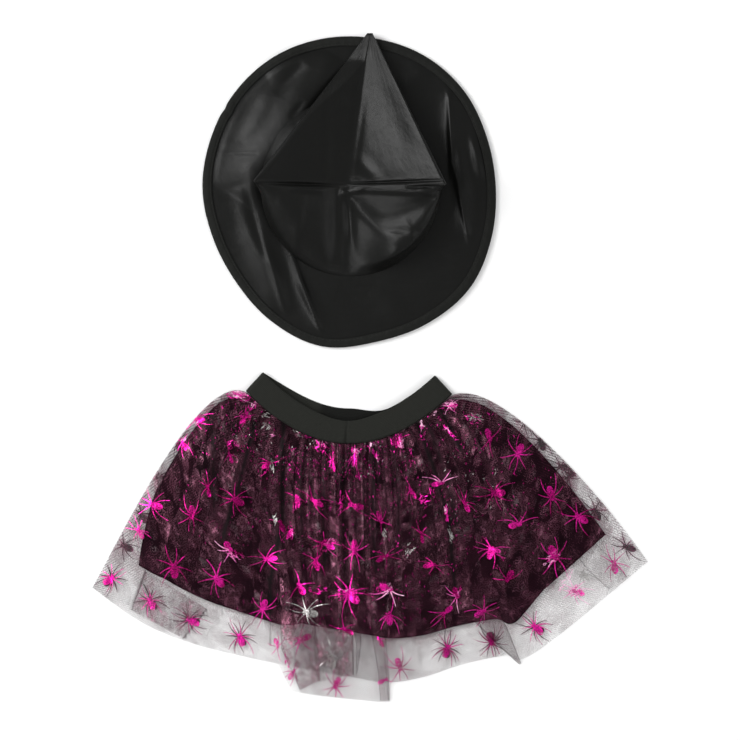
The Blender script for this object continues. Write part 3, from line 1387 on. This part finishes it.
def bandSurface(u, w, upper):
    # how far the outer face swells: puckers from the gathers fade towards the top edge
    if not upper:
        return 0.0
    pull = (1.0 - w) ** 1.6
    ripple = band["rippleHigh"] * math.sin(math.tau * 27.0 * u + 1.2 * math.sin(11.0 * u)) * pull
    dent = band["dentDeep"] * bell(u - band["dentAt"] - 0.006 * w, band["dentWide"]) * mix(1.0, 0.2, w)
    return ripple - dent + 0.25 * math.sin(math.pi * w)


def makeWaistband():
    stations = bandStations()
    steps = band["acrossSteps"]
    rows, outside = [], []
    for middle, across, thick, u, upper in stations:
        half = band["cloth"] / 2.0
        under = []
        over = []
        for n in range(steps + 1):
            w = n / steps
            rim = 1.0 - 0.55 * (bell(w, 0.03) + bell(1.0 - w, 0.03))
            narrow = 1.0 - band["tilted"] * bell(u - band["dentAt"], 0.16) if upper else 1.0
            place = middle + across * band["wide"] * narrow * w
            over.append(place + thick * (half * rim + bandSurface(u, w, upper)))
            under.append(place - thick * half * rim)
        rows.append(under + over[::-1])
        inner = 0.0 if upper else 1.0 - smoothStep(band["darkFrom"], band["darkFrom"] + 0.06, u)
        outside += [inner] * len(under) + [1.0] * len(over)
    count = len(rows[0])
    around = 0.43 / len(rows)

    def uvAt(r, c):
        across = c / steps if c <= steps else (count - 1 - c) / steps
        return (r * around, across * band["wide"] * layout["mm"])

    piece = gridPiece("skirtWaistband", rows, cloth["elastic"], uvAt, True, True, {"outside": outside}, True)
    dress(piece, "elastic", "skirt_waistband")
    places = []
    arc = 205.0
    for k in range(int(arc / (band["stitchGaps"] * 2.0))):
        u = (k + 0.5) / int(arc / (band["stitchGaps"] * 2.0))
        middle, across, thick, _, _ = bandRun(u, skirt["sagFront"], band["frontHigh"] + band["cloth"], True)
        lift = band["frontLift"] * math.sin(math.pi * u)
        zig = 0.9 if k % 2 else -0.9
        spot = middle + across * band["stitchInset"] + thick * (lift + bandSurface(u, 0.1, True) - 0.05)
        along = Vector((across.y, -across.x, 0.0)) * 1.0 + across * zig
        places.append((spot, along))
    stitches = stitchPiece("skirtWaistStitches", places, 0.42, 2.8, cloth["thread"])
    dress(stitches, "elastic")
    return piece, stitches


# spiders: a foil print, each one a round body, a small head and eight bent legs
spider = {
    "scale": 1.06,
    "abdomenLong": 4.3,
    "abdomenWide": 3.2,
    "chestLong": 2.6,
    "chestWide": 2.1,
    "legWide": 1.1,
    "legSteps": 9,
    "legs": (
        {"root": 24, "knee": 30, "kneeAway": 8.5, "foot": 12, "footAway": 17.0},
        {"root": 58, "knee": 52, "kneeAway": 8.5, "foot": 58, "footAway": 15.5},
        {"root": 104, "knee": 102, "kneeAway": 8.0, "foot": 118, "footAway": 15.0},
        {"root": 142, "knee": 126, "kneeAway": 9.0, "foot": 152, "footAway": 18.5},
    ),
}


def spiderShape(rng, legs, bodyOnly=False, legsOnly=False):
    # flat outlines in millimetres, head towards +Y: places with their lift, then faces
    points, faces = [], []

    def oval(midY, long, wide):
        first = len(points)
        points.append((0.0, midY, 0.30))
        for ring in (0.5, 1.0):
            for n in range(16):
                turn = math.tau * n / 16
                lift = mix(0.38, 0.24, ring) + rng.uniform(-0.09, 0.09)
                points.append((wide * ring * math.cos(turn), midY + long * ring * math.sin(turn), lift))
        for n in range(16):
            m = (n + 1) % 16
            faces.append((first, first + 1 + n, first + 1 + m))
            faces.append((first + 1 + n, first + 17 + n, first + 17 + m, first + 1 + m))

    if not legsOnly:
        oval(-4.2, spider["abdomenLong"], spider["abdomenWide"])
        oval(1.6, spider["chestLong"], spider["chestWide"])
    for side in (-1.0, 1.0):
        if bodyOnly or (legs == "right" and side < 0.0) or (legs == "left" and side > 0.0):
            continue
        for leg in spider["legs"]:
            if legs == "few" and rng.random() < 0.45:
                continue
            swing = rng.uniform(-8.0, 8.0)
            reach = rng.uniform(0.82, 1.12)
            corners = []
            for angle, away in ((leg["root"], 1.2), (leg["knee"], leg["kneeAway"]), (leg["foot"], leg["footAway"])):
                turn = math.radians(90.0 - side * (angle + swing * away / 17.0))
                corners.append(Vector((math.cos(turn) * away * reach, 1.2 + math.sin(turn) * away * reach)))
            first = len(points)
            steps = spider["legSteps"]
            for n in range(steps + 1):
                s = n / steps
                a = corners[0].lerp(corners[1], s)
                b = corners[1].lerp(corners[2], s)
                p = a.lerp(b, s)
                ahead = (b - a).normalized()
                off = Vector((-ahead.y, ahead.x)) * spider["legWide"] / 2.0 * mix(1.2, 0.35, s)
                lift = 0.15 + rng.uniform(-0.03, 0.03)
                points.append((p.x + off.x, p.y + off.y, lift))
                points.append((p.x - off.x, p.y - off.y, lift))
            for n in range(steps):
                k = first + 2 * n
                faces.append((k, k + 2, k + 3, k + 1))
    return points, faces


# the print on the front: tone, place in millimetres, turn in degrees, size, squeeze across, legs that show
frontSpiders = (
    ("pink", -252, -204, 300, 0.95, 1.0, "all"), ("pink", -213, -226, 20, 0.95, 0.9, "all"),
    ("pink", -174, -244, 60, 1.05, 0.9, "all"), ("pink", -126, -261, 15, 1.0, 1.0, "all"),
    ("deep", -190, -193, 5, 1.15, 1.0, "all"), ("pink", -148, -204, 40, 1.05, 1.0, "all"),
    ("pink", -104, -232, 160, 1.0, 0.9, "all"), ("hot", -136, -174, 215, 0.9, 1.0, "right"),
    ("pink", -99, -184, 95, 1.05, 0.8, "all"), ("pink", -68, -211, 30, 1.0, 1.0, "few"),
    ("silver", -60, -236, 75, 1.1, 1.0, "all"), ("deep", -52, -187, 10, 1.0, 0.8, "few"),
    ("pink", -19, -219, 45, 1.25, 1.0, "all"), ("pink", -15, -175, 180, 1.1, 0.8, "all"),
    ("pink", -66, -262, 110, 1.1, 0.9, "few"), ("pink", -90, -268, 200, 0.8, 0.8, "few"),
    ("silver", -38, -282, 15, 1.1, 1.0, "all"), ("pink", -33, -307, 160, 0.95, 1.0, "all"),
    ("pink", -24, -253, 60, 1.0, 0.8, "few"), ("pink", -75, -295, 330, 0.9, 0.7, "few"),
    ("hot", 18, -213, 250, 1.0, 1.0, "right"), ("pink", 19, -240, 0, 1.0, 0.9, "few"),
    ("pink", 29, -289, 200, 1.05, 0.9, "all"), ("pink", 14, -302, 300, 0.8, 0.8, "few"),
    ("pink", 9, -263, 30, 0.9, 0.7, "few"), ("pink", 75, -272, 340, 1.0, 1.0, "all"),
    ("deep", 118, -264, 200, 1.05, 1.0, "all"), ("pink", 161, -251, 45, 1.05, 0.9, "all"),
    ("hot", 200, -216, 70, 1.0, 0.8, "all"), ("pink", 237, -190, 10, 1.05, 0.9, "all"),
    ("pink", 179, -181, 205, 1.2, 1.0, "all"), ("deep", 134, -203, 150, 1.0, 1.0, "few"),
    ("pink", 109, -236, 300, 1.0, 0.9, "all"), ("pink", 73, -236, 130, 1.0, 0.8, "few"),
    ("silver", 208, -199, 40, 0.9, 0.8, "few"), ("hot", 78, -36, 100, 0.8, 0.6, "few"),
    ("deep", 116, -66, 200, 1.0, 0.9, "few"), ("pink", 144, -81, 155, 1.05, 0.9, "all"),
    ("pink", 176, -123, 195, 1.1, 0.9, "all"), ("pink", 203, -144, 60, 1.1, 0.9, "all"),
    ("pink", 143, -151, 280, 1.0, 0.9, "left"), ("hot", 68, -111, 280, 0.95, 0.8, "left"),
    ("pink", 92, -131, 30, 1.0, 0.7, "few"), ("deep", 122, -120, 90, 1.05, 1.0, "all"),
    ("deep", 118, -176, 340, 1.0, 0.9, "few"), ("hot", 84, -219, 200, 0.9, 0.8, "right"),
    ("pink", -210, -132, 75, 1.05, 0.9, "all"), ("pink", -224, -158, 30, 0.9, 0.8, "all"),
    ("deep", -173, -141, 180, 1.0, 0.9, "all"), ("pink", -157, -116, 10, 0.95, 0.6, "few"),
    ("deep", -130, -127, 60, 1.0, 1.0, "all"), ("pink", -181, -72, 20, 0.85, 0.7, "few"),
    ("pink", -168, -49, 90, 0.9, 0.8, "all"), ("hot", -129, -24, 80, 0.95, 0.7, "few"),
    ("pink", -121, -47, 320, 0.9, 0.6, "few"), ("deep", -71, -126, 10, 1.0, 0.7, "few"),
    ("deep", -98, -92, 300, 0.9, 0.8, "few"), ("deep", -54, -128, 60, 1.15, 0.7, "few"),
    ("pink", -36, -91, 10, 1.0, 0.45, "few"), ("pink", -15, -85, 350, 1.1, 0.45, "few"),
    ("deep", 10, -146, 200, 1.0, 0.6, "few"), ("pink", 28, -69, 340, 0.9, 0.55, "few"),
    ("deep", 40, -118, 30, 1.0, 0.6, "few"), ("deep", -16, -132, 75, 1.2, 0.8, "few"),
    ("pink", 50, -161, 10, 0.9, 0.6, "few"), ("deep", 60, -190, 280, 1.0, 0.7, "few"),
    ("pink", -77, -158, 330, 0.9, 0.5, "few"), ("pink", -42, -170, 60, 1.0, 0.7, "few"),
    ("deep", -86, -150, 20, 1.0, 0.7, "few"), ("deep", 14, -182, 300, 1.0, 0.7, "few"),
    ("pink", 119, -175, 75, 0.9, 0.7, "few"), ("deep", -136, -84, 20, 0.9, 0.6, "few"),
)

# the same print on the back net, seen from inside as the dark back of the foil
backSpiders = (
    (166, -71, 20), (187, -95, 80), (194, -104, 140), (219, -139, 30), (250, -173, 70),
    (150, -50, 200), (-238, -172, 60), (-213, -226, 40), (-252, -204, 320), (-174, -244, 80),
    (-126, -261, 35), (75, -272, 0), (161, -251, 65), (118, -264, 180),
    (-222, -142, 30), (-204, -106, 60), (-186, -72, 10), (-120, -200, 20), (-60, -150, 70),
    (0, -190, 30), (60, -140, 90), (120, -170, 10), (170, -130, 50), (-30, -230, 80), (40, -240, 10),
)


def laySpiders(name, marks, tree, lift, material, seed, bodies=()):
    rng = random.Random(seed)
    points, faces = [], []
    spots = [(mark, False, material is cloth["hot"]) for mark in marks] + [(mark, True, False) for mark in bodies]
    for (x, y, turn, size, squeeze, legs), bodyOnly, legsOnly in spots:
        shape, shapeFaces = spiderShape(rng, legs, bodyOnly, legsOnly)
        swing = math.radians(turn)
        size *= spider["scale"]
        placed = []
        for px, py, own in shape:
            px *= squeeze
            gx = x + size * (px * math.cos(swing) - py * math.sin(swing))
            gy = y + size * (px * math.sin(swing) + py * math.cos(swing))
            placed.append(dropOn(tree, gx, gy, own * lift))
        keepOnCloth(points, faces, placed, shapeFaces)
    return makePiece(name, points, faces, material)


def keepOnCloth(points, faces, placed, shapeFaces):
    # a print ends where its cloth ends
    kept = [face for face in shapeFaces if all(placed[i] is not None for i in face)]
    used = sorted({i for face in kept for i in face})
    renumber = {i: len(points) + n for n, i in enumerate(used)}
    points += [placed[i] for i in used]
    faces += [[renumber[i] for i in face] for face in kept]


# crumpled foil where the print is gathered or creased: tone, place, length, width, turn, flecks
crumples = (
    ("hot", -128, -24, 19, 8, -12, 60), ("pink", -128, -26, 24, 10, -12, 40),
    ("pink", -121, -46, 9, 12, 40, 30), ("pink", -114, -36, 16, 5, 45, 22), ("hot", -113, -34, 9, 3, 45, 8),
    ("silver", -100, -44, 4, 9, 0, 10), ("silver", -101, -56, 8, 10, 20, 12), ("hot", -94, -64, 3, 4, 0, 4),
    ("pink", -134, -73, 12, 9, 30, 22), ("pink", -169, -49, 14, 9, 80, 22), ("hot", -168, -51, 8, 5, 80, 7),
    ("pink", -182, -72, 9, 14, 70, 22), ("hot", -181, -70, 5, 7, 70, 6),
    ("silver", -68, -62, 15, 8, -30, 20), ("pink", -64, -62, 17, 8, -30, 26),
    ("pink", -48, -76, 10, 14, 80, 28), ("hot", -46, -72, 5, 9, 80, 6), ("pink", -37, -90, 12, 7, 85, 26),
    ("pink", -15, -85, 20, 8, 92, 40), ("hot", -14, -82, 12, 6, 92, 22), ("pink", -10, -101, 10, 5, 80, 12),
    ("hot", 2, -73, 6, 3, 70, 6), ("pink", 5, -82, 11, 4, 115, 14), ("pink", 26, -68, 13, 12, 60, 40),
    ("hot", 29, -72, 9, 9, 90, 26), ("hot", 50, -54, 12, 2.5, 88, 12), ("pink", 51, -62, 14, 5, 95, 16),
    ("hot", 77, -33, 15, 8, -15, 34), ("pink", 76, -36, 18, 9, -15, 26), ("hot", 63, -42, 6, 3, 60, 8),
    ("silver", 103, -47, 18, 11, -10, 26), ("pink", 101, -49, 20, 10, -10, 24),
    ("pink", 78, -62, 20, 3, -48, 24), ("hot", 75, -58, 9, 1.8, -48, 8),
    ("silver", -95, -93, 16, 4, 100, 18), ("silver", -92, -146, 14, 5, 95, 18), ("silver", 14, -161, 10, 5, 90, 14),
    ("pink", -77, -158, 16, 5, 95, 24), ("hot", -76, -158, 8, 2.5, 95, 6), ("pink", -42, -170, 18, 13, 30, 40),
    ("hot", -40, -168, 12, 5, 30, 10), ("pink", -28, -128, 18, 4, 90, 22), ("pink", -70, -128, 14, 5, 85, 20),
    ("pink", -131, -178, 20, 7, -25, 30), ("hot", -133, -181, 16, 5, -25, 18),
    ("pink", 52, -127, 9, 11, 45, 20), ("pink", 74, -140, 18, 3, 95, 24), ("hot", 73, -137, 8, 1.5, 95, 6),
    ("silver", 78, -160, 18, 4, 95, 22), ("silver", 39, -174, 16, 8, 70, 20), ("pink", 60, -118, 16, 5, 100, 18),
    ("pink", 12, -212, 12, 10, 60, 20), ("hot", 17, -213, 13, 6, 70, 14), ("pink", 85, -218, 14, 8, 60, 24),
    ("hot", 85, -217, 8, 4, 60, 8), ("pink", 199, -216, 14, 8, 30, 24), ("hot", 199, -215, 16, 9, 30, 34),
    ("hot", 176, -184, 20, 9, 40, 36), ("pink", 178, -181, 16, 9, 40, 24), ("silver", 208, -199, 14, 9, 0, 34), ("hot", 190, -205, 24, 8, 60, 26),
    ("pink", -52, -214, 20, 9, 10, 26), ("pink", -22, -219, 20, 16, 0, 46), ("hot", -24, -214, 8, 5, 0, 5),
    ("pink", -82, -284, 18, 6, 110, 22), ("pink", -66, -262, 15, 9, 10, 24), ("pink", 18, -240, 10, 10, 0, 20),
)

# finer flecks strewn over the gathers: tone, middle, half sizes, flecks
strewn = (
    ("pink", -24, -86, 74, 20, 260), ("silver", -20, -88, 70, 22, 80), ("deep", -24, -104, 84, 34, 340),
    ("deep", 10, -160, 90, 60, 380), ("pink", 0, -170, 90, 60, 90), ("deep", -130, -110, 60, 70, 220),
    ("pink", 92, -60, 50, 26, 100), ("silver", 96, -110, 30, 46, 50), ("deep", 120, -130, 60, 70, 240),
    ("pink", -140, -58, 42, 30, 110), ("silver", -110, -70, 20, 30, 30), ("deep", -20, -230, 110, 22, 180),
)


def layFlecks(name, groups, tree, material, seed):
    rng = random.Random(seed)
    points, faces = [], []
    for x, y, long, wide, turn, count, size in groups:
        swing = math.radians(turn)
        for _ in range(count):
            away = math.sqrt(rng.random()) * 0.5
            around = rng.uniform(0.0, math.tau)
            px, py = long * away * math.cos(around), wide * away * math.sin(around)
            cx = x + px * math.cos(swing) - py * math.sin(swing)
            cy = y + px * math.sin(swing) + py * math.cos(swing)
            own = swing + rng.gauss(0.0, 0.5)
            reach = size * rng.uniform(0.5, 1.6)
            thick = reach * rng.uniform(0.10, 0.26)
            bend = rng.uniform(-0.35, 0.35)
            placed = []
            for n in range(4):
                s = n / 3.0 - 0.5
                for side in (-1.0, 1.0):
                    half = side * thick * (0.55 - abs(s)) + bend * reach * (0.25 - s * s)
                    gx = cx + reach * s * math.cos(own) - half * math.sin(own)
                    gy = cy + reach * s * math.sin(own) + half * math.cos(own)
                    placed.append(dropOn(tree, gx, gy, 0.22 + rng.uniform(-0.12, 0.16)))
            keepOnCloth(points, faces, placed, [(2 * n, 2 * n + 2, 2 * n + 3, 2 * n + 1) for n in range(3)])
    return makePiece(name, points, faces, material)


def makeSpiders(front, back):
    frontTree = topOf(front)
    backTree = topOf(back)
    made = []
    for number, tone in enumerate(("pink", "hot", "deep", "silver")):
        marks = [row[1:] for row in frontSpiders if row[0] == tone]
        # a brightly lit spider has shining legs and a pink body
        bodies = [row[1:] for row in frontSpiders if row[0] == "hot"] if tone == "pink" else ()
        piece = laySpiders("foilSpiders" + tone.capitalize(), marks, frontTree, 1.0, cloth[tone], 40 + number, bodies)
        made.append(dress(piece, "net"))
        groups = [row[1:] + (3.4,) for row in crumples if row[0] == tone]
        groups += [(x, y, 2 * w, 2 * h, 90, n, 1.9) for kind, x, y, h, w, n in strewn if kind == tone]
        flecks = layFlecks("foilFlecks" + tone.capitalize(), groups, frontTree, cloth[tone], 70 + number)
        made.append(dress(flecks, "net"))
    marks = [row + (1.0, 0.9, "all") for row in backSpiders]
    upper = laySpiders("foilSpidersBackInside", marks, backTree, 1.0, cloth["back"], 51)
    lower = laySpiders("foilSpidersBackOutside", marks, backTree, -1.0, cloth["pink"], 51)
    return made, [dress(upper, "net"), dress(lower, "net")]


makeStage()
makeMaterials()
brimPiece = makeBrim()
bindingPiece, bindingStitches = makeBinding()
crownPiece = makeCrown()
print("costume: hat ready")
bandPiece, bandStitches = makeWaistband()
liningFrontPiece, liningBackPiece = makeLinings()
netFrontPiece, netBackPiece = makeNets()
netLaps = makeLaps(netFrontPiece)
print("costume: skirt ready")
frontFoil, backFoil = makeSpiders(netFrontPiece, netBackPiece)
print("costume: spiders ready")
